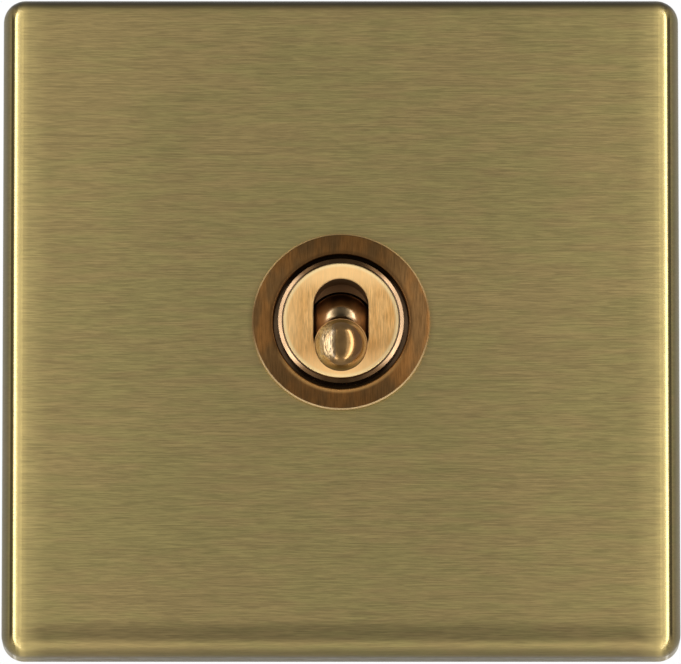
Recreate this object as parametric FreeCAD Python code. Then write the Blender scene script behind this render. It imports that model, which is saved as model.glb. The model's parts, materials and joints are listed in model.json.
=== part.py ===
import FreeCAD, Part
import math
import os

# Dolly switch on a square plate with hidden fixings, in millimetres.
# X runs right and Z up as seen from the room, and Y runs into the wall.
# The wall's surface is Y = 0, and the dolly's collar is centred on X = Z = 0.
# The plate hangs a little low round the collar, by its drop.
# The switch is drawn with its dolly down.

# Face plate, a pressed brass shell
plate_width = 88.0
plate_height = 86.3
plate_depth = 7.0
plate_drop = 0.4
plate_wall = 1.0
plate_corner_radius = 2.9
plate_edge_radius = 2.7

# Dark ring round the collar, with a threaded hub held by a nut behind the plate
ring_lip = 1.55
ring_proud = 0.7
ring_edge_break = 0.25
ring_bore_gap = 0.6
ring_mouth_round = 0.35
hub_wall = 1.25
hub_clearance = 0.1
hub_overrun = 0.1
ring_nut_rim = 2.5
ring_nut_thickness = 1.1
ring_nut_notches = 4
ring_nut_notch_width = 2.0
ring_nut_notch_depth = 1.0
thread_clearance = 0.05

# Bright collar: the front of the bush that carries the dolly
nose_radius = 8.15
nose_rim = 0.7
nose_edge_break = 0.08
nose_ledge_depth = 0.12
nose_ledge_width = 0.25
nose_bevel_depth = 0.24
nose_proud = 1.0
nose_step_gap = 0.3
slot_width = 7.2
slot_length = 11.0
slot_edge_break = 0.12
barrel_step = 0.85
barrel_clearance = 0.1
bush_flange_thickness = 2.0
bush_flange_corner = 1.0
bush_flange_clearance = 0.2
seat_clearance = 0.3
flare_start = 2.5
flare_clearance = 0.5
bush_nut_sides = 6
bush_nut_wall = 3.0
bush_nut_thickness = 1.4
lock_washer_rim = 3.0
lock_washer_thickness = 0.5
lock_washer_teeth = 10
lock_washer_gap_width = 1.2
lock_washer_gap_depth = 1.3

# Dolly: ball, neck, pivot ball and tail turned in one piece
dolly_ball_radius = 3.42
dolly_reach = 14.4
dolly_dome_setback = 1.0
pivot_ball_radius = 4.2
neck_root_radius = 1.5
neck_tip_radius = 2.0
neck_root_fillet = 1.8
neck_tip_fillet = 0.8
tail_radius = 2.9
tail_length = 9.0
tail_chamfer = 0.4
dolly_half_swing = 18.0
pin_radius = 0.9
pin_inset = 1.3
pin_fit = 0.02
pin_running_clearance = 0.05

# Sprung plunger in the dolly's tail
plunger_radius = 1.5
plunger_clearance = 0.05
plunger_reach = 10.5
plunger_body_length = 4.6
plunger_pin_web = 1.2
spring_coil_radius = 1.1
spring_wire_radius = 0.18
spring_turns = 4
spring_end_gap = 0.05

# Rocker, the moving contact that tips over the fulcrum
rocker_half_swing = 9.0
rocker_web = 1.05
rocker_width = 6.0
rocker_shoulder_half_length = 4.9
rocker_arm_thickness = 1.2
rocker_arm_width = 4.4
rocker_corner_fillet = 0.8
track_gap = 0.1
track_steps = 12
fulcrum_radius = 1.0
fulcrum_clearance = 0.05
contact_reach = 10.0
contact_radius = 1.6
contact_head = 1.0
contact_dome_radius = 4.0
contact_shank_radius = 0.8
contact_upset_radius = 1.2
contact_upset_height = 0.3
contact_gap = 0.05
fixed_contact_head = 0.8
strip_thickness = 1.0
strip_width = 6.0
strip_overlap = 2.3
strip_end_fillet = 1.2
fulcrum_foot_half_height = 3.6
fulcrum_root_fillet = 0.5

# Terminals
terminal_width = 7.5
terminal_length = 6.5
terminal_depth = 7.0
terminal_edge_break = 0.4
terminal_contact_gap = 2.6
wire_bore_radius = 2.0
wire_bore_length = 5.6
wire_bore_setback = 4.3
wire_entry_radius = 2.7
screw_radius = 1.6
screw_tip_gap = 0.2
screw_backed_out = 0.5
screw_head_radius = 2.6
screw_head_height = 1.9
screw_slot_width = 0.8
screw_slot_depth = 0.9
screw_hole_clearance = 0.15
screw_access_clearance = 0.4
rocker_terminal_gap = 2.2

# Moulded housing and its base
housing_side_wall = 2.0
housing_front_wall = 2.5
housing_corner_radius = 2.5
housing_edge_break = 0.6
base_thickness = 2.6
base_rib_height = 1.3
base_rib_thickness = 1.1
base_rib_length = 7.0
base_rib_offset = 5.2
base_rib_clearance = 0.15
barrier_gap = 1.15
barrier_thickness = 1.0
barrier_height = 2.6
barrier_width = 13.0
boss_radius = 2.5
boss_inset = 1.7
base_screw_radius = 1.1
base_screw_length = 9.0
base_screw_fit = 0.03
base_screw_clearance = 0.2
base_screw_head_radius = 2.0
base_screw_head_height = 1.0
base_screw_slot_width = 0.5
base_screw_slot_depth = 0.5

# Pressed steel mounting frame behind the plate
frame_thickness = 1.2
frame_gap = 1.5
frame_corner_radius = 2.0
frame_turned_edge = 2.0
frame_bend_radius = 1.0
fixing_spacing = 60.3
fixing_slot_width = 4.0
fixing_slot_length = 7.0
clip_thickness = 0.35
clip_width = 10.0
clip_height = 22.0
clip_foot_length = 6.5
clip_foot_edge = 1.5
clip_wall_gap = 0.07
clip_nose_rise = 1.25
clip_tip_rise = 2.5
clip_tip_inset = 1.25
clip_rivet_radius = 0.75
clip_rivet_head_radius = 1.5
clip_rivet_head_height = 0.6
clip_rivet_setback = 5.0
clip_rivet_fit = 0.02

# Earth terminal staked to the frame
earth_offset = 21.0
earth_spigot_radius = 1.5
earth_spigot_fit = 0.02
earth_bore_height = 3.0

# Radii about the axis that follow from the collar's
ring_bore_radius = nose_radius + ring_bore_gap
ring_mouth_radius = ring_bore_radius + ring_mouth_round
hub_radius = ring_bore_radius + hub_wall
ring_radius = hub_radius + ring_lip
ring_nut_radius = hub_radius + ring_nut_rim
barrel_radius = nose_radius + barrel_step
bush_nut_flat = barrel_radius + bush_nut_wall
lock_washer_radius = barrel_radius + lock_washer_rim
pin_half_length = barrel_radius - pin_inset

# Levels along Y that follow from the sizes above
plate_front = -plate_depth
plate_inner = plate_front + plate_wall
ring_front = plate_front - ring_proud
ring_nut_back = plate_inner + ring_nut_thickness
hub_end = ring_nut_back + hub_overrun
bush_front = ring_front - nose_proud
barrel_front = hub_end + nose_step_gap
pivot_y = bush_front + dolly_dome_setback + pivot_ball_radius
frame_front = -frame_thickness
lock_washer_front = frame_front - lock_washer_thickness
bush_nut_front = lock_washer_front - bush_nut_thickness
bush_flange_back = housing_front_wall + bush_flange_thickness
lean = math.radians(dolly_half_swing)
flare_radius = ((bush_flange_back - pivot_y) * math.tan(lean) + tail_radius / math.cos(lean)
                + flare_clearance)
rocker_valley = rocker_web + fulcrum_radius + fulcrum_clearance
fulcrum_distance = plunger_reach + plunger_radius + track_gap + rocker_valley
fulcrum_y = pivot_y + fulcrum_distance
swing = math.radians(rocker_half_swing)
dome_offset = contact_dome_radius - contact_head
closed_contact_y = (fulcrum_y + contact_dome_radius - dome_offset * math.cos(swing)
                    + contact_reach * math.sin(swing))
closed_contact_z = contact_reach * math.cos(swing) + dome_offset * math.sin(swing)
strip_front = closed_contact_y + contact_gap + fixed_contact_head
floor_y = strip_front + strip_thickness
base_back = floor_y + base_thickness
wire_y = strip_front - wire_bore_setback

# Inner size of the housing, set by what stands in it
terminal_near_z = closed_contact_z + contact_radius + terminal_contact_gap
inner_half_height = terminal_near_z + terminal_length
terminal_near_x = rocker_width / 2 + rocker_terminal_gap
inner_half_width = terminal_near_x + terminal_length
terminal_mid_z = terminal_near_z + terminal_length / 2
terminal_mid_x = terminal_near_x + terminal_length / 2
housing_half_width = inner_half_width + housing_side_wall
housing_half_height = inner_half_height + housing_side_wall
frame_half_width = plate_width / 2 - plate_wall - frame_gap
frame_half_height = plate_height / 2 - plate_wall - frame_gap

OVERCUT = 1.0
TOWARD_WALL = FreeCAD.Vector(0, 1, 0)
ALONG_X = FreeCAD.Vector(1, 0, 0)
ALONG_Z = FreeCAD.Vector(0, 0, 1)


def point(x, y, z):
    return FreeCAD.Vector(x, y, z)


def disc(radius, y_low, y_high, x=0.0, z=0.0):
    """A cylinder along Y."""
    return Part.makeCylinder(radius, y_high - y_low, point(x, y_low, z), TOWARD_WALL)


def block(x_low, x_high, y_low, y_high, z_low, z_high):
    corner = point(x_low, y_low, z_low)
    return Part.makeBox(x_high - x_low, y_high - y_low, z_high - z_low, corner)


def edges_along(shape, direction):
    """The straight edges of a shape that run along a direction."""
    found = []
    for edge in shape.Edges:
        if isinstance(edge.Curve, Part.Line):
            run = edge.tangentAt(edge.FirstParameter)
            if abs(run.dot(direction)) > 0.999:
                found.append(edge)
    return found


def edges_at_y(shape, y):
    """The edges that lie wholly in the plane at one Y."""
    level = 1e-4
    return [edge for edge in shape.Edges
            if abs(edge.BoundBox.YMin - y) < level and abs(edge.BoundBox.YMax - y) < level]


def slab(half_width, half_height, y_low, y_high, corner):
    """A plate across Y with rounded corners, centred on the axis."""
    plain = block(-half_width, half_width, y_low, y_high, -half_height, half_height)
    return plain.makeFillet(corner, edges_along(plain, TOWARD_WALL))


def stadium(width, length, y_low, y_high, x=0.0, upright=True):
    """A round-ended bar along Y, with its length along Z, or along X if it isn't upright."""
    reach = (length - width) / 2
    if upright:
        ends = [(x, -reach), (x, reach)]
        middle = block(x - width / 2, x + width / 2, y_low, y_high, -reach, reach)
    else:
        ends = [(x - reach, 0.0), (x + reach, 0.0)]
        middle = block(x - reach, x + reach, y_low, y_high, -width / 2, width / 2)
    rounds = [disc(width / 2, y_low, y_high, end_x, end_z) for end_x, end_z in ends]
    return middle.fuse(rounds).removeSplitter()


def turned(edges):
    """A solid turned about the Y axis from edges in the plane Z = 0."""
    face = Part.Face(Part.Wire(edges))
    return face.revolve(point(0, 0, 0), TOWARD_WALL, 360)


def outline(corners):
    """Straight edges round (radius, y) corners, closed."""
    places = [point(radius, y, 0) for radius, y in corners]
    places.append(places[0])
    return Part.makePolygon(places).Edges


def line(start, end):
    return Part.LineSegment(start, end).toShape()


def arc(start, middle, end):
    return Part.Arc(start, middle, end).toShape()


def plate_shell(inset, y_back):
    """The plate's outer form, or its inner one where it is inset by the wall."""
    front = plate_front + inset
    shell = slab(plate_width / 2 - inset, plate_height / 2 - inset, front, y_back,
                 plate_corner_radius - inset)
    shell = shell.makeFillet(plate_edge_radius - inset, edges_at_y(shell, front))
    return shell.translated(point(0, 0, -plate_drop))


def face_plate():
    shell = plate_shell(0.0, 0.0).cut(plate_shell(plate_wall, OVERCUT))
    hole = disc(hub_radius + hub_clearance, plate_front - OVERCUT, 0.0)
    return shell.cut(hole)


def collar_ring():
    """The dark ring with a rounded mouth, and its hub."""
    mouth_y = ring_front + ring_mouth_round
    bend = ring_mouth_round * math.sqrt(0.5)
    mouth = arc(point(ring_mouth_radius, ring_front, 0),
                point(ring_mouth_radius - bend, mouth_y - bend, 0),
                point(ring_bore_radius, mouth_y, 0))
    side = Part.makePolygon([
        point(ring_bore_radius, mouth_y, 0),
        point(ring_bore_radius, hub_end, 0),
        point(hub_radius, hub_end, 0),
        point(hub_radius, plate_front, 0),
        point(ring_radius, plate_front, 0),
        point(ring_radius, ring_front + ring_edge_break, 0),
        point(ring_radius - ring_edge_break, ring_front, 0),
        point(ring_mouth_radius, ring_front, 0),
    ])
    return turned([mouth] + side.Edges)


def ring_nut():
    """A thin round nut with notches for a spanner."""
    nut = disc(ring_nut_radius, plate_inner, ring_nut_back)
    nut = nut.cut(disc(hub_radius + thread_clearance, plate_inner - OVERCUT, ring_nut_back + OVERCUT))
    half = ring_nut_notch_width / 2
    notch = block(ring_nut_radius - ring_nut_notch_depth, ring_nut_radius + OVERCUT,
                  plate_inner - OVERCUT, ring_nut_back + OVERCUT, -half, half)
    for index in range(ring_nut_notches):
        turn = 360.0 / ring_nut_notches * (index + 0.5)
        nut = nut.cut(notch.rotated(point(0, 0, 0), TOWARD_WALL, turn))
    return nut


def dolly_bush():
    """The bright collar with its bevelled rim, the barrel and the flange, with the ball's seat inside."""
    face_radius = nose_radius - nose_rim
    ledge_y = bush_front + nose_ledge_depth
    bevel_radius = face_radius + nose_ledge_width
    corners = [
        (0, bush_front),
        (face_radius - nose_edge_break, bush_front),
        (face_radius, bush_front + nose_edge_break),
        (face_radius, ledge_y),
        (bevel_radius, ledge_y),
        (nose_radius, ledge_y + nose_bevel_depth),
        (nose_radius, barrel_front),
        (barrel_radius, barrel_front),
        (barrel_radius, bush_flange_back),
        (0, bush_flange_back),
    ]
    body = turned(outline(corners))
    half = inner_half_width - bush_flange_clearance
    flange = slab(half, half, housing_front_wall, bush_flange_back, bush_flange_corner)
    body = body.fuse(flange).removeSplitter()
    seat_radius = pivot_ball_radius + seat_clearance
    seat = Part.makeSphere(seat_radius, point(0, pivot_y, 0))
    flare_y = pivot_y + flare_start
    bore = disc(seat_radius, pivot_y, flare_y)
    flare = Part.makeCone(seat_radius, flare_radius, bush_flange_back - flare_y,
                          point(0, flare_y, 0), TOWARD_WALL)
    slot = stadium(slot_width, slot_length, bush_front - OVERCUT, pivot_y)
    pin_hole = Part.makeCylinder(pin_radius + pin_fit, 2 * barrel_radius + 2 * OVERCUT,
                                 point(-barrel_radius - OVERCUT, pivot_y, 0), ALONG_X)
    body = body.cut([seat, bore, flare, slot, pin_hole])
    lips = [edge for edge in edges_at_y(body, bush_front)
            if edge.BoundBox.XMax < slot_width / 2 + slot_edge_break]
    return body.makeChamfer(slot_edge_break, lips)


def bush_nut():
    corner = bush_nut_flat / math.cos(math.pi / bush_nut_sides)
    places = []
    for index in range(bush_nut_sides + 1):
        turn = 2 * math.pi / bush_nut_sides * index
        places.append(point(corner * math.cos(turn), bush_nut_front, corner * math.sin(turn)))
    nut = Part.Face(Part.makePolygon(places)).extrude(TOWARD_WALL * bush_nut_thickness)
    bore = disc(barrel_radius + thread_clearance, bush_nut_front - OVERCUT, lock_washer_front + OVERCUT)
    return nut.cut(bore)


def lock_washer():
    """A thin spring washer with teeth round its inside."""
    washer = disc(lock_washer_radius, lock_washer_front, frame_front)
    inner = barrel_radius + barrel_clearance
    washer = washer.cut(disc(inner, lock_washer_front - OVERCUT, frame_front + OVERCUT))
    half = lock_washer_gap_width / 2
    gap = block(inner - OVERCUT, inner + lock_washer_gap_depth,
                lock_washer_front - OVERCUT, frame_front + OVERCUT, -half, half)
    for index in range(lock_washer_teeth):
        washer = washer.cut(gap.rotated(point(0, 0, 0), TOWARD_WALL, 360.0 / lock_washer_teeth * index))
    return washer


def tipped(shape, fulcrum, degrees):
    """A shape turned about an axis along X through (y, z) = (fulcrum, 0)."""
    return shape.rotated(point(0, fulcrum, 0), ALONG_X, degrees)


def dolly():
    """Ball, tapered neck, pivot ball and bored tail, turned in one and leaning down."""
    ball_y = pivot_y - dolly_reach
    tail_end = pivot_y + tail_length
    root_y = pivot_y - math.sqrt(pivot_ball_radius ** 2 - neck_root_radius ** 2)
    tip_y = ball_y + math.sqrt(dolly_ball_radius ** 2 - neck_tip_radius ** 2)
    tail_top = pivot_y + math.sqrt(pivot_ball_radius ** 2 - tail_radius ** 2)
    root = point(neck_root_radius, root_y, 0)
    tip = point(neck_tip_radius, tip_y, 0)
    nose = point(0, ball_y - dolly_ball_radius, 0)
    tail = Part.makePolygon([
        nose,
        point(0, tail_end, 0),
        point(tail_radius - tail_chamfer, tail_end, 0),
        point(tail_radius, tail_end - tail_chamfer, 0),
        point(tail_radius, tail_top, 0),
    ])
    edges = tail.Edges
    edges.append(arc(point(tail_radius, tail_top, 0), point(pivot_ball_radius, pivot_y, 0), root))
    edges.append(line(root, tip))
    edges.append(arc(tip, point(dolly_ball_radius, ball_y, 0), nose))
    lever = turned(edges)
    lever = lever.makeFillet(neck_root_fillet, edges_at_y(lever, root_y))
    lever = lever.makeFillet(neck_tip_fillet, edges_at_y(lever, tip_y))
    pin_bore_radius = pin_radius + pin_running_clearance
    pin_bore = Part.makeCylinder(pin_bore_radius, 2 * pivot_ball_radius + 2 * OVERCUT,
                                 point(-pivot_ball_radius - OVERCUT, pivot_y, 0), ALONG_X)
    bore = disc(plunger_radius + plunger_clearance, plunger_bore_end(), tail_end + OVERCUT)
    return tipped(lever.cut([pin_bore, bore]), pivot_y, dolly_half_swing)


def plunger_bore_end():
    """Where the bore in the tail ends, short of the pivot pin."""
    return pivot_y + pin_radius + pin_running_clearance + plunger_pin_web


def pivot_pin():
    return Part.makeCylinder(pin_radius, 2 * pin_half_length,
                             point(-pin_half_length, pivot_y, 0), ALONG_X)


def plunger():
    """A round-nosed plunger that slides in the tail."""
    tip_y = pivot_y + plunger_reach
    body = disc(plunger_radius, tip_y - plunger_body_length, tip_y)
    nose = Part.makeSphere(plunger_radius, point(0, tip_y, 0))
    return tipped(body.fuse(nose).removeSplitter(), pivot_y, dolly_half_swing)


def plunger_spring():
    """A coil spring between the end of the bore and the plunger."""
    start = plunger_bore_end() + spring_end_gap + spring_wire_radius
    end = pivot_y + plunger_reach - plunger_body_length - spring_end_gap - spring_wire_radius
    length = end - start
    helix = Part.makeLongHelix(length / spring_turns, length, spring_coil_radius)
    wire = Part.Circle(point(spring_coil_radius, 0, 0), TOWARD_WALL, spring_wire_radius).toShape()
    coil = Part.Wire(helix.Edges).makePipeShell([Part.Wire([wire])], True, True)
    coil.rotate(point(0, 0, 0), ALONG_X, -90)
    coil.translate(point(0, start, 0))
    return tipped(coil, pivot_y, dolly_half_swing)


def track_point(share, offset):
    """A point (y, z) of the rocker's track, from the fulcrum, with the rocker level.

    The share runs from 1 with the dolly down to -1 with it up. The rocker tips against the
    dolly in a fixed ratio, so the plunger's tip draws one curve on it. The track lies beside
    that curve by the offset.
    """
    def tip(part):
        turn = lean * part
        tilt = swing * part
        across = plunger_reach * math.cos(turn) - fulcrum_distance
        along = plunger_reach * math.sin(turn)
        return (across * math.cos(tilt) - along * math.sin(tilt),
                across * math.sin(tilt) + along * math.cos(tilt))
    small = 1e-4
    before = tip(share - small)
    after = tip(share + small)
    run = math.hypot(after[0] - before[0], after[1] - before[1])
    here = tip(share)
    return (here[0] + offset * (after[1] - before[1]) / run,
            here[1] - offset * (after[0] - before[0]) / run)


def rocker():
    """The moving contact's carrier: a curved track over a half-round notch, and two arms."""
    offset = plunger_radius + track_gap
    half = rocker_width / 2
    tip_z = contact_reach + rocker_arm_width / 2
    notch = fulcrum_radius + fulcrum_clearance

    def at(y, z):
        return point(-half, fulcrum_y + y, z)
    shares = [1 - 2 * index / track_steps for index in range(track_steps + 1)]
    track = [at(*track_point(share, offset)) for share in shares]
    curve = Part.BSplineCurve()
    curve.interpolate(track)
    top_y, top_z = track_point(1, offset)
    shoulder = max(rocker_shoulder_half_length, top_z + notch / 2)
    right = Part.makePolygon([
        at(0, notch),
        at(0, tip_z),
        at(-rocker_arm_thickness, tip_z),
        at(-rocker_arm_thickness, shoulder),
        at(top_y, shoulder),
        at(top_y, top_z),
    ])
    left = Part.makePolygon([
        at(top_y, -top_z),
        at(top_y, -shoulder),
        at(-rocker_arm_thickness, -shoulder),
        at(-rocker_arm_thickness, -tip_z),
        at(0, -tip_z),
        at(0, -notch),
    ])
    notch_arc = arc(at(0, -notch), at(-notch, 0), at(0, notch))
    profile = Part.Wire(Part.__sortEdges__(right.Edges + [curve.toShape()] + left.Edges + [notch_arc]))
    body = Part.Face(profile).extrude(ALONG_X * rocker_width)
    inner_corners = [edge for edge in edges_along(body, ALONG_X)
                     if abs(edge.CenterOfMass.y - (fulcrum_y - rocker_arm_thickness)) < 1e-4
                     and abs(abs(edge.CenterOfMass.z) - shoulder) < 1e-4]
    body = body.makeFillet(rocker_corner_fillet, inner_corners)
    y_low = fulcrum_y + top_y - OVERCUT
    y_high = fulcrum_y + OVERCUT
    arms = stadium(rocker_arm_width, 2 * tip_z, y_low, y_high)
    middle = slab(half, shoulder + rocker_corner_fillet, y_low, y_high, rocker_corner_fillet)
    body = body.common(arms.fuse(middle))
    for side in (-1, 1):
        body = body.cut(disc(contact_shank_radius, y_low, y_high, 0, side * contact_reach))
    return tipped(body, fulcrum_y, -rocker_half_swing)


def rocker_contacts():
    """Two domed silver rivets through the rocker's arms."""
    rivets = []
    for side in (-1, 1):
        z = side * contact_reach
        head = disc(contact_radius, fulcrum_y, fulcrum_y + contact_head, 0, z)
        dome = Part.makeSphere(contact_dome_radius, point(0, fulcrum_y - dome_offset, z))
        shank = disc(contact_shank_radius, fulcrum_y - rocker_arm_thickness, fulcrum_y, 0, z)
        upset_y = fulcrum_y - rocker_arm_thickness
        upset = disc(contact_upset_radius, upset_y - contact_upset_height, upset_y, 0, z)
        rivet = head.common(dome).fuse([shank, upset]).removeSplitter()
        rivets.append(tipped(rivet, fulcrum_y, -rocker_half_swing))
    return Part.makeCompound(rivets)


def fixed_contact(side):
    """A brass strip from the fixed contact to its terminal."""
    inner = closed_contact_z - strip_overlap
    strip = block(-strip_width / 2, strip_width / 2, strip_front, floor_y, inner, inner_half_height)
    ends = [edge for edge in edges_along(strip, TOWARD_WALL) if abs(edge.CenterOfMass.z - inner) < 1e-4]
    strip = strip.makeFillet(strip_end_fillet, ends)
    low = strip_front - OVERCUT
    high = floor_y + OVERCUT
    strip = strip.cut(disc(contact_shank_radius, low, high, 0, closed_contact_z))
    strip = strip.cut(disc(screw_radius + screw_hole_clearance, low, high, 0, terminal_mid_z))
    return turned_over(strip, side)


def turned_over(shape, side):
    """The shape as drawn above the axis, or turned half round to lie below it."""
    if side > 0:
        return shape
    return shape.rotated(point(0, 0, 0), TOWARD_WALL, 180)


def fixed_rivets():
    """The silver rivets of both fixed contacts."""
    rivets = []
    for side in (-1, 1):
        z = side * closed_contact_z
        head = disc(contact_radius, strip_front - fixed_contact_head, strip_front, 0, z)
        shank = disc(contact_shank_radius, strip_front, floor_y, 0, z)
        rivets.append(head.fuse(shank).removeSplitter())
    return Part.makeCompound(rivets)


def fulcrum_bracket():
    """The common strip: a blade with a round edge under the rocker, and a foot to its terminal."""
    half = rocker_width / 2
    foot = block(-half, inner_half_width, strip_front, floor_y,
                 -fulcrum_foot_half_height, fulcrum_foot_half_height)
    blade = block(-half, half, fulcrum_y, strip_front, -fulcrum_radius, fulcrum_radius)
    edge = Part.makeCylinder(fulcrum_radius, rocker_width, point(-half, fulcrum_y, 0), ALONG_X)
    bracket = foot.fuse([blade, edge]).removeSplitter()
    roots = [corner for corner in edges_along(bracket, ALONG_X)
             if abs(corner.CenterOfMass.y - strip_front) < 1e-4
             and abs(abs(corner.CenterOfMass.z) - fulcrum_radius) < 1e-4]
    bracket = bracket.makeFillet(fulcrum_root_fillet, roots)
    return bracket.cut(disc(screw_radius + screw_hole_clearance, strip_front - OVERCUT,
                            floor_y + OVERCUT, terminal_mid_x, 0))


def terminal_body(depth, bore_setback, length, bore_length):
    """A brass block drawn along Z from Z = 0, its wire bore open at the far end, its back at Y = 0."""
    half = terminal_width / 2
    body = block(-half, half, -depth, 0, 0, length)
    body = body.makeChamfer(terminal_edge_break, edges_along(body, ALONG_Z))
    bore = Part.makeCylinder(wire_bore_radius, bore_length + OVERCUT,
                             point(0, -bore_setback, length - bore_length), ALONG_Z)
    screw_hole = disc(screw_radius + thread_clearance, -bore_setback, OVERCUT, 0, length / 2)
    return body.cut([bore, screw_hole])


def line_terminal(side):
    """The terminal block at one end of the housing."""
    body = terminal_body(terminal_depth, wire_bore_setback, terminal_length, wire_bore_length)
    body.translate(point(0, strip_front, terminal_near_z))
    return turned_over(body, side)


def common_terminal():
    """The terminal block beside the rocker, its wire bore open to the side."""
    body = terminal_body(terminal_depth, wire_bore_setback, terminal_length, wire_bore_length)
    body.rotate(point(0, 0, 0), TOWARD_WALL, 90)
    body.translate(point(terminal_near_x, strip_front, 0))
    return body


def slotted_screw(seat_y, tip_y, x, z):
    """A cheese-head screw along Y, its head on the wall side, backed out of its seat."""
    head_y = seat_y + screw_backed_out
    top = head_y + screw_head_height
    screw = disc(screw_head_radius, head_y, top, x, z)
    screw = screw.fuse(disc(screw_radius, tip_y, head_y, x, z)).removeSplitter()
    half = screw_slot_width / 2
    reach = screw_head_radius + OVERCUT
    slot = block(x - reach, x + reach, top - screw_slot_depth, top + OVERCUT, z - half, z + half)
    return screw.cut(slot)


def terminal_screws():
    """The screws of the three terminals in the housing."""
    tip_y = wire_y + wire_bore_radius + screw_tip_gap
    places = [(0, terminal_mid_z), (0, -terminal_mid_z), (terminal_mid_x, 0)]
    return Part.makeCompound([slotted_screw(floor_y, tip_y, x, z) for x, z in places])


def corner_places():
    """Where the four base screws stand."""
    x = inner_half_width - boss_inset
    z = inner_half_height - boss_inset
    return [(-x, -z), (x, -z), (-x, z), (x, z)]


def switch_housing():
    """The moulded box, open towards the wall, with corner bosses and wire entries."""
    body = slab(housing_half_width, housing_half_height, 0, floor_y, housing_corner_radius)
    body = body.makeChamfer(housing_edge_break, edges_at_y(body, 0))
    cavity = slab(inner_half_width, inner_half_height, housing_front_wall, floor_y + OVERCUT,
                  housing_corner_radius - housing_side_wall)
    for x, z in corner_places():
        cavity = cavity.cut(disc(boss_radius, housing_front_wall, floor_y + OVERCUT, x, z))
    body = body.cut(cavity)
    body = body.cut(disc(barrel_radius + barrel_clearance, -OVERCUT, housing_front_wall + OVERCUT))
    pilot_end = base_back - base_screw_length
    for x, z in corner_places():
        body = body.cut(disc(base_screw_radius + base_screw_fit, pilot_end, floor_y + OVERCUT, x, z))
    wall = housing_side_wall + 2 * OVERCUT
    for side in (-1, 1):
        entry = Part.makeCylinder(wire_entry_radius, wall,
                                  point(0, wire_y, side * (inner_half_height - OVERCUT)),
                                  ALONG_Z * side)
        body = body.cut(entry)
    entry = Part.makeCylinder(wire_entry_radius, wall,
                              point(inner_half_width - OVERCUT, wire_y, 0), ALONG_X)
    return body.cut(entry)


def housing_base():
    """The base that closes the housing, with locating ribs, arc barriers and screw holes."""
    base = slab(housing_half_width, housing_half_height, floor_y, base_back, housing_corner_radius)
    base = base.makeFillet(housing_edge_break, edges_at_y(base, base_back))
    adds = []
    barrier_z = closed_contact_z - strip_overlap - barrier_gap - barrier_thickness / 2
    for side in (-1, 1):
        outer = side * (inner_half_width - base_rib_clearance)
        inner = outer - side * base_rib_thickness
        for end in (-1, 1):
            near = end * base_rib_offset
            far = end * (base_rib_offset + base_rib_length)
            adds.append(block(min(outer, inner), max(outer, inner), floor_y - base_rib_height, floor_y,
                              min(near, far), max(near, far)))
        z = side * barrier_z
        adds.append(block(-barrier_width / 2, barrier_width / 2, floor_y - barrier_height, floor_y,
                          z - barrier_thickness / 2, z + barrier_thickness / 2))
    base = base.fuse(adds).removeSplitter()
    access = screw_head_radius + screw_access_clearance
    for x, z in [(0, terminal_mid_z), (0, -terminal_mid_z), (terminal_mid_x, 0)]:
        base = base.cut(disc(access, floor_y - OVERCUT, base_back + OVERCUT, x, z))
    shank = base_screw_radius + base_screw_clearance
    sink_y = base_back - base_screw_head_height
    for x, z in corner_places():
        base = base.cut(disc(shank, floor_y - OVERCUT, base_back + OVERCUT, x, z))
        sink = Part.makeCone(shank, base_screw_head_radius + base_screw_clearance,
                             base_screw_head_height, point(x, sink_y, z), TOWARD_WALL)
        base = base.cut(sink)
    return base


def base_screws():
    """Four countersunk screws from the base into the corner bosses."""
    screws = []
    half = base_screw_slot_width / 2
    reach = base_screw_head_radius + OVERCUT
    for x, z in corner_places():
        shank = disc(base_screw_radius, base_back - base_screw_length, base_back, x, z)
        head = Part.makeCone(base_screw_radius, base_screw_head_radius, base_screw_head_height,
                             point(x, base_back - base_screw_head_height, z), TOWARD_WALL)
        slot = block(x - reach, x + reach, base_back - base_screw_slot_depth, base_back + OVERCUT,
                     z - half, z + half)
        screws.append(shank.fuse(head).removeSplitter().cut(slot))
    return Part.makeCompound(screws)


def clip_places():
    """Each plate clip's side along X and its place along Z."""
    return [(side, end * clip_height) for side in (-1, 1) for end in (-1, 1)]


def clip_rivet_x():
    return frame_half_width - clip_rivet_setback


def mounting_frame():
    """A pressed steel plate with turned edges, slotted for the wall box's screws."""
    frame = slab(frame_half_width, frame_half_height, frame_front, 0, frame_corner_radius)
    turned_front = frame_front - frame_turned_edge
    half = frame_half_width - frame_corner_radius
    for side in (-1, 1):
        outer = side * frame_half_height
        inner = outer - side * frame_thickness
        edge = block(-half, half, turned_front, frame_front, min(outer, inner), max(outer, inner))
        frame = frame.fuse(edge)
    frame = frame.removeSplitter()
    bends = [edge for edge in edges_along(frame, ALONG_X)
             if abs(edge.CenterOfMass.y) < 1e-4 and abs(edge.CenterOfMass.z) > frame_half_height - 1e-4]
    frame = frame.makeFillet(frame_bend_radius, bends)
    low = frame_front - OVERCUT
    cuts = [disc(barrel_radius + barrel_clearance, low, OVERCUT)]
    for side in (-1, 1):
        cuts.append(stadium(fixing_slot_width, fixing_slot_length, low, OVERCUT,
                            side * fixing_spacing / 2, upright=False))
    for side, z in clip_places():
        cuts.append(disc(clip_rivet_radius + clip_rivet_fit, low, OVERCUT, side * clip_rivet_x(), z))
    cuts.append(disc(earth_spigot_radius + earth_spigot_fit, low, OVERCUT, -earth_offset, 0))
    return frame.cut(cuts)


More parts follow.
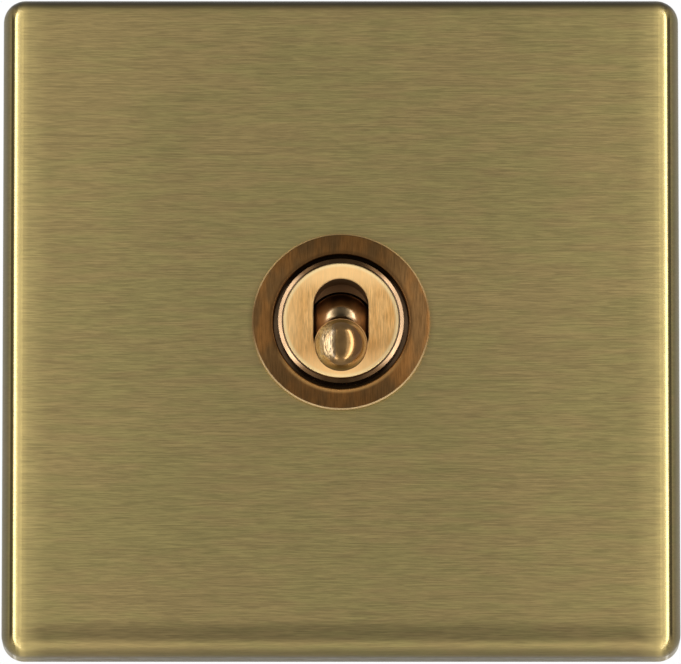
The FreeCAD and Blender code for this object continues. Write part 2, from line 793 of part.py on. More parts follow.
def plate_clip(side, z):
    """A bent spring strip riveted to the frame, its nose against the plate's side wall."""
    foot_y = frame_front
    bend_x = frame_half_width - clip_foot_edge
    nose_x = plate_width / 2 - plate_wall - clip_wall_gap
    path = Part.makePolygon([
        point(bend_x - clip_foot_length, foot_y, 0),
        point(bend_x, foot_y, 0),
        point(nose_x, foot_y - clip_nose_rise, 0),
        point(nose_x - clip_tip_inset, foot_y - clip_tip_rise, 0),
    ])
    band = path.makeOffset2D(clip_thickness, 0, True, True)
    clip = band.extrude(ALONG_Z * clip_width)
    clip.translate(point(0, 0, z - clip_width / 2))
    hole = disc(clip_rivet_radius + clip_rivet_fit, foot_y - OVERCUT, OVERCUT, clip_rivet_x(), z)
    clip = clip.cut(hole)
    if side < 0:
        clip = clip.mirror(point(0, 0, 0), ALONG_X)
    return clip


def clip_rivets():
    """The rivets that hold the plate clips to the frame."""
    rivets = []
    head_back = frame_front - clip_thickness
    for side, z in clip_places():
        x = side * clip_rivet_x()
        shank = disc(clip_rivet_radius, head_back, 0, x, z)
        head = disc(clip_rivet_head_radius, head_back - clip_rivet_head_height, head_back, x, z)
        rim = edges_at_y(head, head_back - clip_rivet_head_height)
        head = head.makeChamfer(clip_rivet_head_height / 2, rim)
        rivets.append(head.fuse(shank).removeSplitter())
    return Part.makeCompound(rivets)


def earth_back():
    """The back face of the earth terminal."""
    return earth_bore_height + wire_bore_setback


def earth_terminal():
    """A brass block on the back of the frame, staked through it, its wire bore along Z."""
    depth = earth_back()
    body = terminal_body(depth, wire_bore_setback, terminal_length, terminal_length + OVERCUT)
    body.translate(point(-earth_offset, depth, -terminal_length / 2))
    spigot = disc(earth_spigot_radius, frame_front, OVERCUT / 2, -earth_offset, 0)
    return body.fuse(spigot).removeSplitter()


def earth_screw():
    tip_y = earth_bore_height + wire_bore_radius + screw_tip_gap
    return slotted_screw(earth_back(), tip_y, -earth_offset, 0)


def write(name, shape):
    shape.exportStep("parts/" + name + ".step")


os.makedirs("parts", exist_ok=True)
write("face_plate", face_plate())
write("collar_ring", collar_ring())
write("ring_nut", ring_nut())
write("dolly_bush", dolly_bush())
write("bush_nut", bush_nut())
write("lock_washer", lock_washer())
write("dolly", dolly())
write("pivot_pin", pivot_pin())
write("plunger", plunger())
write("plunger_spring", plunger_spring())
write("rocker", rocker())
write("rocker_contacts", rocker_contacts())
write("fixed_contact_upper", fixed_contact(1))
write("fixed_contact_lower", fixed_contact(-1))
write("fixed_rivets", fixed_rivets())
write("fulcrum_bracket", fulcrum_bracket())
write("terminal_upper", line_terminal(1))
write("terminal_lower", line_terminal(-1))
write("terminal_common", common_terminal())
write("terminal_screws", terminal_screws())
write("switch_housing", switch_housing())
write("housing_base", housing_base())
write("base_screws", base_screws())
write("mounting_frame", mounting_frame())
for number, (clip_side, clip_z) in enumerate(clip_places(), start=1):
    write("plate_clip_" + str(number), plate_clip(clip_side, clip_z))
write("clip_rivets", clip_rivets())
write("earth_terminal", earth_terminal())
write("earth_screw", earth_screw())
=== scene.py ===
import bpy
import json
import math
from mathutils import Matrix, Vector


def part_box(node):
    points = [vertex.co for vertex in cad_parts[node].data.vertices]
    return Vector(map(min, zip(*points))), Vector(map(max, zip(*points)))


# Looks for the dolly switch: camera, studio, and a procedural finish for every piece.
# X runs right and Z up as seen from the room, Y runs into the wall, and sizes are in metres.
# A band runs from a start to an end along a distance. Bands and the steps of noise are in millimetres.

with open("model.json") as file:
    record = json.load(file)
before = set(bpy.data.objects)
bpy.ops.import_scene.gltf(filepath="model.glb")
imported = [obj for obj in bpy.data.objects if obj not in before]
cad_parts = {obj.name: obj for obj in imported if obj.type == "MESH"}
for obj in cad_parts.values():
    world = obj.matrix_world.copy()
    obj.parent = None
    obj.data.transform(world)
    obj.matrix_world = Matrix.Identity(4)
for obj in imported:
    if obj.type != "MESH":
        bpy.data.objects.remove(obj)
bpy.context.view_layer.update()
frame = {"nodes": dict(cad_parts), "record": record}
MM = 0.001

# Places on the object, taken from the solids
PLATE_LOW, PLATE_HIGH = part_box("face_plate")
RING_LOW, RING_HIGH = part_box("collar_ring")
BUSH_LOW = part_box("dolly_bush")[0]
DOLLY_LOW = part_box("dolly")[0]
PIN_LOW, PIN_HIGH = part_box("pivot_pin")
PIVOT = (PIN_LOW + PIN_HIGH) / 2
PIVOT_BALL_RADIUS = 4.2 * MM
PLATE_CENTRE_Z = (PLATE_LOW.z + PLATE_HIGH.z) / 2
PLATE_HALF_WIDTH = (PLATE_HIGH.x - PLATE_LOW.x) / 2
RING_RADIUS = RING_HIGH.x
FACE_RADIUS = 7.45 * MM
BALL_RADIUS = 3.42 * MM
BALL_CENTRE = Vector((0.0, DOLLY_LOW.y + BALL_RADIUS, DOLLY_LOW.z + BALL_RADIUS))

# Camera, from a little below. The offset from the plate's middle fits it to the photograph's frame.
CAMERA_TILT = math.radians(8.5)
CAMERA_DISTANCE = 1.62
CAMERA_LENS = 658.2
CAMERA_OFFSET = Vector((-0.06, -3.5, -0.36)) * MM
CAMERA_TARGET = Vector((0.0, 0.0, PLATE_CENTRE_Z)) + CAMERA_OFFSET
CAMERA_NEAR = 0.01
CAMERA_FAR = 50.0
SENSOR = 36.0

# Studio: dark cloth in front, grey cloth beside the object, tall lamps, and a white room behind
CLOTH_RADIUS = 1.2
CLOTH_RINGS = 16
CLOTH_STEPS = 48
DARK_LEVEL = 0.30
GREY_LEVEL = 0.5
CLOTH_MIDDLE = 0.001
CLOTH_SIDE = math.radians(104)
CLOTH_TOP = math.radians(125)
CLOTH_BOTTOM = math.radians(62)
CLOTH_END = math.radians(158)
STRIP_RADIANCE = 5.0
STRIP_ANGLE = math.radians(48.5)
STRIP_WIDTH = 0.105
PANEL_RADIANCE = 0.75
PANEL_ANGLE = math.radians(34)
PANEL_WIDTH = 0.14
LAMP_DISTANCE = 0.45
LAMP_HEIGHT = 1.9
LAMP_DROP = 0.28
FLOOR_LEVEL = -1.3
FLOOR_SIZE = 14.0
FLOOR_ROUGHNESS = 0.9
WHITE = (1.0, 1.0, 1.0, 1.0)
MIDDLE_GREY = (0.5, 0.5, 0.5, 1.0)


def srgb(red, green, blue):
    """A display colour of 0 to 255 as Blender's linear colour."""
    def linear(value):
        share = value / 255
        if share <= 0.04045:
            return share / 12.92
        return ((share + 0.055) / 1.055) ** 2.4
    return (linear(red), linear(green), linear(blue), 1.0)


# Colours of the finishes. A pair runs from one tone of the metal to the other, and some pairs and
# colours hold painted light and shade.
ANTIQUE_BRASS = (srgb(173, 157, 100), srgb(176, 154, 101))
RUBBED_BRASS_AND_PAINTED_SHEEN = srgb(220, 197, 129)
TURN_PAINTED_DARK_LINE = srgb(46, 38, 16)
WALL_GREY_PAINTED_REFLECTION = srgb(156, 150, 128)
BRONZE = (srgb(112, 82, 48), srgb(136, 94, 50))
BRONZE_PAINTED_EDGE_HIGHLIGHT = srgb(220, 190, 142)
BRONZE_LIP_PAINTED_SHADE_AND_REFLECTION = (srgb(84, 58, 32), srgb(214, 164, 98))
BRONZE_BORE_PAINTED_SHADE = srgb(92, 70, 44)
COPPER_GOLD = (srgb(234, 179, 107), srgb(246, 195, 125))
PALE_GOLD_PAINTED_LIGHT = srgb(255, 214, 150)
BRIGHT_GOLD_WEAR_AND_PAINTED_GLINT = srgb(255, 229, 172)
# Painted shade: the rim's second tone darkens it at the top and bottom
RIM = (srgb(166, 136, 104), srgb(84, 62, 40))
SLOT_PAINTED_SHADE_BROWN = srgb(152, 120, 86)
BALL_BRASS = (srgb(153, 114, 62), srgb(167, 127, 73))
BALL_PAINTED_BROWN_REFLECTION = srgb(154, 106, 58)
HANDLED_BRASS_AND_PAINTED_HIGHLIGHT = srgb(228, 198, 152)
DOME_PAINTED_SHADE_AND_LIGHT = (srgb(120, 100, 72), srgb(232, 200, 160))
PLAIN_BRASS = (srgb(176, 146, 88), srgb(206, 178, 116))
SILVER = (srgb(190, 187, 180), srgb(226, 224, 218))
ZINC_STEEL = (srgb(164, 167, 171), srgb(196, 199, 203))
SPRING_STEEL = (srgb(98, 99, 102), srgb(128, 129, 132))
BLACK_PLASTIC = (srgb(34, 34, 35), srgb(44, 44, 45))
WORN_PLASTIC = srgb(74, 74, 75)

# Parts of a noise's range that a finish uses, since its values crowd round a half
WIDE = (0.3, 0.7)
MEDIUM = (0.35, 0.65)
NARROW = (0.38, 0.62)
SHARP = (0.4, 0.6)
UPPER = (0.35, 0.6)
PITS = (0.25, 0.4)

# Steps of the tool marks along X, Y and Z
UPRIGHT_GRAIN = (0.07, 0.5, 1.6)
TURNED = (0.2, 0.8, 0.6)
STRUCK = (0.15, 0.3, 0.15)
PRESSED = (1.2, 1.2, 0.2)

# Bands on the plate, in from its sides, top, foot and front. A shade also has the level it reaches.
SIDE_PAINTED_LIGHT = (28, 4)
SIDE_WEAR_AND_SHEEN = (6.5, 2.6)
SIDE_WEAR_AND_SHEEN_END = (1.4, 1.75)
SIDE_PAINTED_SHADES = (((3.5, 2.8), 1.2), ((2.6, 2.1), 0.66))
TURN_INNER = (1.40, 1.66)
TURN_OUTER = (1.2, 1.0)
SIDE_WALL = (1.2, 0.4)
BURNISH_INNER = (2.0, 1.8)
BURNISH_OUTER = (1.45, 1.6)
TOP_PAINTED_SHADE = (0.6, 1.8)
FOOT_PAINTED_SHADES = (((4.8, 3.2), 0.66), ((2.3, 1.4), 1.72), ((1.5, 0.6), 0.62))
FOOT_FADE = (2.0, 6.0)
FOOT_LIP_PAINTED_SHADE = (0.12, 0.02)
PLATE_CORNER = (1.2, 3.0)
LACQUER_END = (2.4, 2.8)

# Bands on the ring, in from its rim and its front, out from its axis, and up or across its face
RING_PAINTED_SHADE_ENDS = (4, 11)
RING_PAINTED_LIGHT_RIGHT = (4, 10)
RING_RIM = (0.22, 0.12)
RING_RIM_ENDS = (1, 6)
RING_LIP = (2.0, 2.5)
LIP_PAINTED_REFLECTION = (-3.0, -7.0)
BORE_MOUTH = (0.3, 0.6)
BORE_WALL = (9.1, 8.9)

# Bands on the collar, out from the rim of its face, in from its front, and up or across its face
FACE_PAINTED_LIGHT_ENDS = (3.0, 6.0)
FACE_PAINTED_LIGHT_LEFT = (-4.0, -6.5)
FACE_RIM_PAINTED_GLINT = (-0.6, -0.1)
RIM_WALL = (0.0, 0.05)
RIM_WALL_PAINTED_SHADE_ENDS = (4.5, 6.5)
SLOT_MOUTH = (0.15, 0.5)
SLOT_REACH = (-0.3, 0.0)

# Bands on the dolly, out from its ball and from its pivot ball's dark front, and up or across it.
# The dark front is painted shade, at a fixed place on the pivot ball a little below its middle with
# the dolly down.
NECK = (3.5, 5.0)
BALL_RIGHT_PAINTED_REFLECTION = (1.35, 1.7)
HANDLED_INNER = (-0.6, -1.3)
HANDLED_OUTER = (-3.1, -2.6)
HANDLED_HEIGHT = (2.6, 1.6)
DOME_PAINTED_LIGHT_FLANK = (0.8, 2.4)
DOME_PAINTED_SHADE_FRONT = (1.5, 2.0)
DOME_PAINTED_SHADE_DROP = math.radians(8.5)

# Which bends count as a sharp edge, and how strong and bright the wear on a hidden metal's edges is
EDGE_BENDS = (0.99, 0.85)
EDGE_WEAR = 0.5
EDGE_LIFT = 1.35


class Finish:
    """A material's node tree, with short calls for the nodes that the finishes share."""

    def __init__(self, name):
        self.material = bpy.data.materials.new(name)
        self.material.use_nodes = True
        self.tree = self.material.node_tree
        self.shader = self.tree.nodes["Principled BSDF"]
        self.place = self.node("ShaderNodeTexCoord").outputs["Object"]

    def node(self, kind, **settings):
        made = self.tree.nodes.new(kind)
        for key, value in settings.items():
            setattr(made, key, value)
        return made

    def link(self, source, target):
        self.tree.links.new(source, target)

    def fill(self, socket, value):
        """Links an output to a socket, or writes a number or colour on it."""
        if isinstance(value, bpy.types.NodeSocket):
            self.link(value, socket)
        else:
            socket.default_value = value

    def noise(self, steps, detail=2.0, roughness=0.5):
        """Noise whose features are about so many millimetres along X, Y and Z."""
        mapping = self.node("ShaderNodeMapping")
        self.link(self.place, mapping.inputs["Vector"])
        mapping.inputs["Scale"].default_value = [1 / (step * MM) for step in steps]
        made = self.node("ShaderNodeTexNoise")
        self.link(mapping.outputs["Vector"], made.inputs["Vector"])
        made.inputs["Scale"].default_value = 1.0
        made.inputs["Detail"].default_value = detail
        made.inputs["Roughness"].default_value = roughness
        return made.outputs["Fac"]

    def calculate(self, kind, first, second=0.0):
        made = self.node("ShaderNodeMath", operation=kind)
        self.fill(made.inputs[0], first)
        self.fill(made.inputs[1], second)
        return made.outputs[0]

    def size_of(self, value):
        """A value without its sign."""
        return self.calculate("ABSOLUTE", value)

    def minus(self, first, second):
        return self.calculate("SUBTRACT", first, second)

    def larger(self, first, second):
        return self.calculate("MAXIMUM", first, second)

    def plus(self, total, *others):
        for other in others:
            total = self.calculate("ADD", total, other)
        return total

    def times(self, product, *others):
        for other in others:
            product = self.calculate("MULTIPLY", product, other)
        return product

    def blend(self, share, first, second):
        """The second value by its share, and the first by the rest of 1."""
        return self.plus(self.times(share, second), self.times(self.minus(1.0, share), first))

    def spread(self, value, span, levels=(0.0, 1.0), smooth=True):
        """A value moved from one range to another, and held at the ends."""
        made = self.node("ShaderNodeMapRange")
        made.interpolation_type = "SMOOTHSTEP" if smooth else "LINEAR"
        self.fill(made.inputs["Value"], value)
        for name, number in zip(("From Min", "From Max", "To Min", "To Max"), (*span, *levels)):
            made.inputs[name].default_value = number
        return made.outputs["Result"]

    def band(self, distance, reach, levels=(0.0, 1.0)):
        """A level that changes along a distance, between a start and an end in millimetres."""
        return self.spread(distance, [edge * MM for edge in reach], levels)

    def mix(self, share, first, second, kind="MIX"):
        """Two colours, mixed by the share of the second or combined in another way."""
        made = self.node("ShaderNodeMix", data_type="RGBA", blend_type=kind)
        self.fill(made.inputs["Factor"], share)
        self.fill(made.inputs["A"], first)
        self.fill(made.inputs["B"], second)
        return made.outputs["Result"]

    def shaded(self, colour, level):
        """A colour made lighter or darker by a level about 1."""
        grey = self.node("ShaderNodeCombineColor")
        for channel in ("Red", "Green", "Blue"):
            self.link(level, grey.inputs[channel])
        return self.mix(1.0, colour, grey.outputs["Color"], "MULTIPLY")

    def axes(self):
        """The place on the piece as X, Y and Z in metres."""
        made = self.node("ShaderNodeSeparateXYZ")
        self.link(self.place, made.inputs[0])
        return made.outputs

    def off_axis(self):
        """The distance from the collar's axis in metres."""
        x, _, z = self.axes()
        return self.calculate("SQRT", self.plus(self.times(x, x), self.times(z, z)))

    def away_from(self, point):
        """The distance from a point in metres."""
        made = self.node("ShaderNodeVectorMath", operation="DISTANCE")
        self.link(self.place, made.inputs[0])
        made.inputs[1].default_value = point
        return made.outputs["Value"]

    def edges(self, radius_mm):
        """1 on sharp edges and 0 away from them."""
        rounded = self.node("ShaderNodeBevel", samples=4)
        rounded.inputs["Radius"].default_value = radius_mm * MM
        plain = self.node("ShaderNodeNewGeometry")
        compare = self.node("ShaderNodeVectorMath", operation="DOT_PRODUCT")
        self.link(rounded.outputs["Normal"], compare.inputs[0])
        self.link(plain.outputs["Normal"], compare.inputs[1])
        return self.spread(compare.outputs["Value"], EDGE_BENDS)

    def gloss_along(self, x, y, z):
        """The way the reflections are drawn out, across the brushing."""
        made = self.node("ShaderNodeCombineXYZ")
        made.inputs["X"].default_value = x
        made.inputs["Y"].default_value = y
        made.inputs["Z"].default_value = z
        self.link(made.outputs["Vector"], self.shader.inputs["Tangent"])

    def bump(self, height, depth_mm):
        made = self.node("ShaderNodeBump")
        made.inputs["Strength"].default_value = 1.0
        made.inputs["Distance"].default_value = depth_mm * MM
        self.link(height, made.inputs["Height"])
        self.link(made.outputs["Normal"], self.shader.inputs["Normal"])

    def metal(self, colour, roughness, anisotropy=0.0):
        self.shader.inputs["Metallic"].default_value = 1.0
        self.shader.inputs["Anisotropic"].default_value = anisotropy
        self.fill(self.shader.inputs["Base Color"], colour)
        self.fill(self.shader.inputs["Roughness"], roughness)

    def lacquer(self, weight, roughness):
        self.fill(self.shader.inputs["Coat Weight"], weight)
        self.shader.inputs["Coat Roughness"].default_value = roughness


def plate_grain(finish):
    """The plate's colour under its brushing, and the height of the brushing."""
    fine = finish.noise((5.0, 0.6, 0.13), detail=1.0, roughness=0.6)
    short = finish.noise((1.1, 0.6, 0.10), detail=1.0)
    long = finish.noise((18.0, 2.0, 0.22), detail=1.0)
    patch = finish.noise((7.0, 3.0, 1.2), detail=3.0)
    cloud = finish.noise((20.0, 14.0, 12.0), detail=1.0)
    tone = finish.plus(finish.times(patch, 0.6), finish.times(cloud, 0.4))
    streak = finish.plus(finish.times(fine, 0.45), finish.times(long, 0.25), finish.times(short, 0.3))
    colour = finish.mix(finish.spread(tone, NARROW), *ANTIQUE_BRASS)
    colour = finish.shaded(colour, finish.spread(streak, WIDE, (0.855, 1.145), smooth=False))
    colour = finish.shaded(colour, finish.spread(cloud, MEDIUM, (0.98, 1.02)))
    return colour, streak


def plate_sides(finish, colour, side, top, foot):
    """The side edges in painted light and shade: a worn pale band, a dark line at the turn, a grey
    wall.
    """
    # Painted light: the face is painted brighter towards its sides
    colour = finish.shaded(colour, finish.band(side, SIDE_PAINTED_LIGHT, (1.0, 1.14)))
    # Wear with a painted sheen: a pale band on the rolled shoulder, where the edge's highlight spreads
    wear_and_painted_sheen = finish.times(finish.band(side, SIDE_WEAR_AND_SHEEN, (0.0, 0.8)), finish.band(side, SIDE_WEAR_AND_SHEEN_END))
    rubbed_and_painted_highlight = finish.spread(finish.noise((3.0, 3.0, 3.0), detail=3.0), WIDE, (0.7, 1.0))
    colour = finish.mix(finish.times(wear_and_painted_sheen, rubbed_and_painted_highlight), colour, RUBBED_BRASS_AND_PAINTED_SHEEN)
    # Painted light and shade across the rolled edge: lighter, then darker towards the side
    for reach, level in SIDE_PAINTED_SHADES:
        colour = finish.shaded(colour, finish.band(side, reach, (1.0, level)))
    # Painted reflection: a dark line along the turn of each side, away from the corners
    straight = finish.times(finish.band(foot, PLATE_CORNER), finish.band(top, PLATE_CORNER))
    off_turn = finish.larger(finish.band(side, TURN_INNER), finish.band(side, TURN_OUTER))
    line = finish.times(straight, finish.minus(1.0, off_turn), 0.9)
    colour = finish.mix(line, colour, TURN_PAINTED_DARK_LINE)
    # Painted reflection: the side wall is painted grey
    return finish.mix(finish.band(side, SIDE_WALL, (0.0, 0.45)), colour, WALL_GREY_PAINTED_REFLECTION)


def plate_ends(finish, colour, side, top, foot):
    """Painted shade on the top edge, painted light and shade bands on the foot that fade near its
    corners.
    """
    # Painted shade: the top edge is painted darker
    colour = finish.shaded(colour, finish.band(top, TOP_PAINTED_SHADE, (0.2, 1.0)))
    # Painted light and shade: dark, light and dark bands up from the foot, fading near the corners
    shades = [finish.band(foot, reach, (1.0, level)) for reach, level in FOOT_PAINTED_SHADES]
    inboard = finish.band(side, FOOT_FADE, (0.2, 1.0))
    colour = finish.shaded(colour, finish.blend(inboard, 1.0, finish.times(*shades)))
    # Painted shade: the bottom wall is painted darker
    return finish.shaded(colour, finish.band(foot, FOOT_LIP_PAINTED_SHADE, (1.0, 0.6)))


def plate_finish():
    """Antique brass under lacquer, brushed across, with wear and painted light and shade along its
    edges.
    """
    finish = Finish("antique_brass_plate")
    x, y, z = finish.axes()
    side = finish.minus(PLATE_HALF_WIDTH, finish.size_of(x))
    top = finish.minus(PLATE_HIGH.z, z)
    foot = finish.minus(z, PLATE_LOW.z)
    depth = finish.minus(y, PLATE_LOW.y)
    colour, streak = plate_grain(finish)
    colour = plate_sides(finish, colour, side, top, foot)
    colour = plate_ends(finish, colour, side, top, foot)
    glint = finish.noise((2.4, 0.4, 0.05), detail=1.0)
    burnish = finish.times(finish.band(side, BURNISH_INNER), finish.band(side, BURNISH_OUTER), 0.2)
    roughness = finish.minus(finish.spread(glint, SHARP, (0.39, 0.51)), burnish)
    finish.metal(colour, roughness, anisotropy=0.3)
    finish.gloss_along(0.0, 0.2, 1.0)
    finish.lacquer(finish.band(depth, LACQUER_END, (0.5, 0.1)), roughness=0.12)
    finish.bump(streak, depth_mm=0.0012)
    return finish.material


def ring_finish():
    """Dark bronze with a fine upright grain. Painted light on its right and edges, painted shade at
    its ends and bore.
    """
    finish = Finish("dark_bronze_ring")
    fine = finish.noise(UPRIGHT_GRAIN, detail=3.0, roughness=0.6)
    cloud = finish.noise((2.4, 3.0, 6.0))
    x, y, z = finish.axes()
    away = finish.size_of(z)
    radius = finish.off_axis()
    inward = finish.minus(RING_RADIUS, radius)
    depth = finish.minus(y, RING_LOW.y)
    colour = finish.mix(finish.spread(cloud, NARROW), *BRONZE)
    colour = finish.shaded(colour, finish.spread(fine, WIDE, (0.84, 1.16)))
    # Painted light and shade: a little lighter across the middle and darker at the top and bottom
    colour = finish.shaded(colour, finish.band(away, RING_PAINTED_SHADE_ENDS, (1.1, 0.66)))
    # Painted light: the right side is painted lighter
    colour = finish.shaded(colour, finish.band(x, RING_PAINTED_LIGHT_RIGHT, (1.0, 1.7)))
    # Painted highlight: a pale line round the outer rim, strongest at the top and bottom
    outer = finish.times(finish.band(away, RING_RIM_ENDS, (0.2, 1.0)), finish.band(inward, RING_RIM))
    colour = finish.mix(outer, colour, BRONZE_PAINTED_EDGE_HIGHLIGHT)
    # Painted shade and reflection on the inner lip: dark above, gold towards the bottom
    lip = finish.mix(finish.band(z, LIP_PAINTED_REFLECTION), *BRONZE_LIP_PAINTED_SHADE_AND_REFLECTION)
    colour = finish.mix(finish.band(inward, RING_LIP, (0.0, 0.7)), colour, lip)
    # Painted shade: the bore wall is painted darker below its mouth
    bore = finish.times(finish.band(depth, BORE_MOUTH), finish.band(radius, BORE_WALL))
    colour = finish.mix(bore, colour, BRONZE_BORE_PAINTED_SHADE)
    finish.metal(colour, finish.spread(fine, MEDIUM, (0.38, 0.46)), anisotropy=0.5)
    finish.gloss_along(1.0, 0.15, 0.0)
    finish.bump(fine, depth_mm=0.0015)
    return finish.material


def collar_finish():
    """Bright copper gold in painted light and shade: a face brushed upright, a polished rim with worn
    edges, a dark slot.
    """
    finish = Finish("copper_gold_collar")
    fine = finish.noise(UPRIGHT_GRAIN, detail=3.0, roughness=0.65)
    cloud = finish.noise((1.6, 3.0, 4.0))
    x, y, z = finish.axes()
    away = finish.size_of(z)
    outward = finish.minus(finish.off_axis(), FACE_RADIUS)
    depth = finish.minus(y, BUSH_LOW.y)
    colour = finish.mix(finish.spread(cloud, MEDIUM), *COPPER_GOLD)
    colour = finish.shaded(colour, finish.spread(fine, WIDE, (0.72, 1.14)))
    # Painted light: the face is painted paler towards its top, bottom and left
    ends = finish.larger(finish.band(away, FACE_PAINTED_LIGHT_ENDS, (0.0, 0.8)),
                         finish.band(x, FACE_PAINTED_LIGHT_LEFT, (0.0, 0.4)))
    colour = finish.mix(ends, colour, PALE_GOLD_PAINTED_LIGHT)
    # Painted glint along the face's rim, and edge wear on its sharp edges
    glow = finish.larger(finish.band(outward, FACE_RIM_PAINTED_GLINT, (0.0, 0.9)),
                         finish.times(finish.edges(radius_mm=0.2), 0.8))
    colour = finish.mix(glow, colour, BRIGHT_GOLD_WEAR_AND_PAINTED_GLINT)
    # Painted shade: the rim wall is painted darker at the top and bottom
    rim = finish.band(outward, RIM_WALL)
    colour = finish.mix(rim, colour, finish.mix(finish.band(away, RIM_WALL_PAINTED_SHADE_ENDS), *RIM))
    # Painted shade: the slot's walls are painted a darker brown
    slot = finish.times(finish.band(depth, SLOT_MOUTH), finish.band(outward, SLOT_REACH, (1.0, 0.0)))
    colour = finish.mix(slot, colour, SLOT_PAINTED_SHADE_BROWN)
    brushed = finish.plus(finish.spread(fine, MEDIUM, (0.42, 0.50)), finish.times(ends, 0.1))
    polished = finish.spread(cloud, MEDIUM, (0.22, 0.30))
    finish.metal(colour, finish.blend(rim, brushed, polished), anisotropy=0.4)
    finish.gloss_along(1.0, 0.15, 0.0)
    finish.bump(fine, depth_mm=0.0015)
    return finish.material


def painted_dome_colour(finish, x):
    """The pivot ball seen in the slot: painted light on its flanks and painted shade on its front."""
    dome = finish.mix(finish.band(finish.size_of(x), DOME_PAINTED_LIGHT_FLANK), *DOME_PAINTED_SHADE_AND_LIGHT)
    inward = Vector((0.0, math.cos(DOME_PAINTED_SHADE_DROP), math.sin(DOME_PAINTED_SHADE_DROP)))
    from_front = finish.away_from(PIVOT - inward * PIVOT_BALL_RADIUS)
    return finish.shaded(dome, finish.band(from_front, DOME_PAINTED_SHADE_FRONT, (0.45, 1.0)))


def dolly_finish():
    """Polished brass: a worn ball with a painted highlight and reflection, painted light and shade
    down the neck.
    """
    finish = Finish("polished_dolly_brass")
    smudge = finish.noise((1.6, 1.6, 1.6), detail=4.0, roughness=0.6)
    scratch = finish.noise((0.2, 0.2, 1.4), detail=3.0, roughness=0.7)
    dents = finish.noise((0.6, 0.6, 2.6))
    x, _, z = finish.axes()
    off_middle = finish.size_of(finish.minus(z, BALL_CENTRE.z))
    from_ball = finish.away_from(BALL_CENTRE)
    neck = finish.band(from_ball, NECK)
    handled_and_painted_highlight = finish.times(finish.band(x, HANDLED_INNER), finish.band(x, HANDLED_OUTER),
                           finish.band(off_middle, HANDLED_HEIGHT))
    colour = finish.mix(finish.spread(smudge, MEDIUM), *BALL_BRASS)
    # Painted reflection: the ball's right side is painted browner
    colour = finish.mix(finish.band(x, BALL_RIGHT_PAINTED_REFLECTION, (0.0, 0.8)), colour, BALL_PAINTED_BROWN_REFLECTION)
    # Wear with a painted highlight: pale scratched brass on the ball's left, where its broad highlight
    # lies
    rubbed_and_painted_highlight = finish.times(handled_and_painted_highlight, finish.spread(scratch, SHARP, (0.4, 1.0)))
    colour = finish.mix(rubbed_and_painted_highlight, colour, HANDLED_BRASS_AND_PAINTED_HIGHLIGHT)
    # Painted light and shade down the neck and on the pivot ball
    colour = finish.mix(neck, colour, painted_dome_colour(finish, x))
    marks = finish.plus(finish.times(smudge, 0.5), finish.times(scratch, 0.5))
    polish = finish.spread(marks, MEDIUM, (0.13, 0.22))
    rougher = finish.times(handled_and_painted_highlight, finish.spread(scratch, UPPER, (0.10, 0.24)))
    roughness = finish.plus(polish, rougher, finish.times(neck, 0.05))
    finish.metal(colour, roughness, anisotropy=0.5)
    finish.gloss_along(1.0, 0.0, 0.0)
    finish.lacquer(finish.band(from_ball, NECK, (0.6, 0.0)), roughness=0.1)
    height = finish.plus(finish.times(scratch, 0.005), finish.times(handled_and_painted_highlight, dents))
    finish.bump(height, depth_mm=0.3)
    return finish.material


def worked_metal(name, tones, roughness, steps):
    """A hidden metal piece as it comes from the lathe or press: tool marks, tarnish, worn edges."""
    finish = Finish(name)
    tarnish = finish.noise((5.0, 5.0, 2.5), detail=4.0, roughness=0.6)
    spots = finish.noise((0.7, 0.7, 0.7))
    fine = finish.noise(steps, detail=3.0, roughness=0.6)
    colour = finish.mix(finish.spread(tarnish, MEDIUM), *tones)
    colour = finish.shaded(colour, finish.spread(fine, WIDE, (0.88, 1.12)))
    colour = finish.shaded(colour, finish.spread(spots, PITS, (0.8, 1.0)))
    patches = finish.spread(spots, UPPER, (0.2, 1.0))
    worn = finish.times(finish.edges(radius_mm=0.12), patches, EDGE_WEAR)
    bright = [min(1.0, channel * EDGE_LIFT) for channel in tones[1]]
    colour = finish.mix(worn, colour, bright)
    finish.metal(colour, finish.spread(fine, MEDIUM, roughness))
    finish.bump(fine, depth_mm=0.004)
    return finish.material


def moulding_finish():
    """Black moulded plastic with a fine spark texture."""
    finish = Finish("black_moulding")
    spark = finish.noise((0.16, 0.16, 0.16))
    cloud = finish.noise((6.0, 6.0, 6.0))
    colour = finish.mix(finish.spread(cloud, WIDE), *BLACK_PLASTIC)
    colour = finish.mix(finish.times(finish.edges(radius_mm=0.2), 0.5), colour, WORN_PLASTIC)
    finish.fill(finish.shader.inputs["Base Color"], colour)
    finish.fill(finish.shader.inputs["Roughness"], finish.spread(spark, WIDE, (0.42, 0.6)))
    finish.bump(spark, depth_mm=0.012)
    return finish.material


def dress():
    """Gives each CAD node the finish of its material slot in the record."""
    finishes = {
        "plate": plate_finish(),
        "ring": ring_finish(),
        "collar": collar_finish(),
        "dolly": dolly_finish(),
        "plain_brass": worked_metal("plain_brass", PLAIN_BRASS, (0.24, 0.40), TURNED),
        "silver": worked_metal("silver_contact", SILVER, (0.22, 0.36), STRUCK),
        "zinc_steel": worked_metal("zinc_steel", ZINC_STEEL, (0.28, 0.46), PRESSED),
        "spring_steel": worked_metal("spring_steel", SPRING_STEEL, (0.22, 0.38), TURNED),
        "moulding": moulding_finish(),
    }
    for part in frame["record"]["subparts"]:
        node = frame["nodes"][part["node"]]
        for slot in node.material_slots:
            slot.material = finishes[part["material_slot"]]


def plain_material(name, colour):
    made = bpy.data.materials.new(name)
    made.use_nodes = True
    shader = made.node_tree.nodes["Principled BSDF"]
    shader.inputs["Base Color"].default_value = colour
    shader.inputs["Roughness"].default_value = FLOOR_ROUGHNESS
    return made


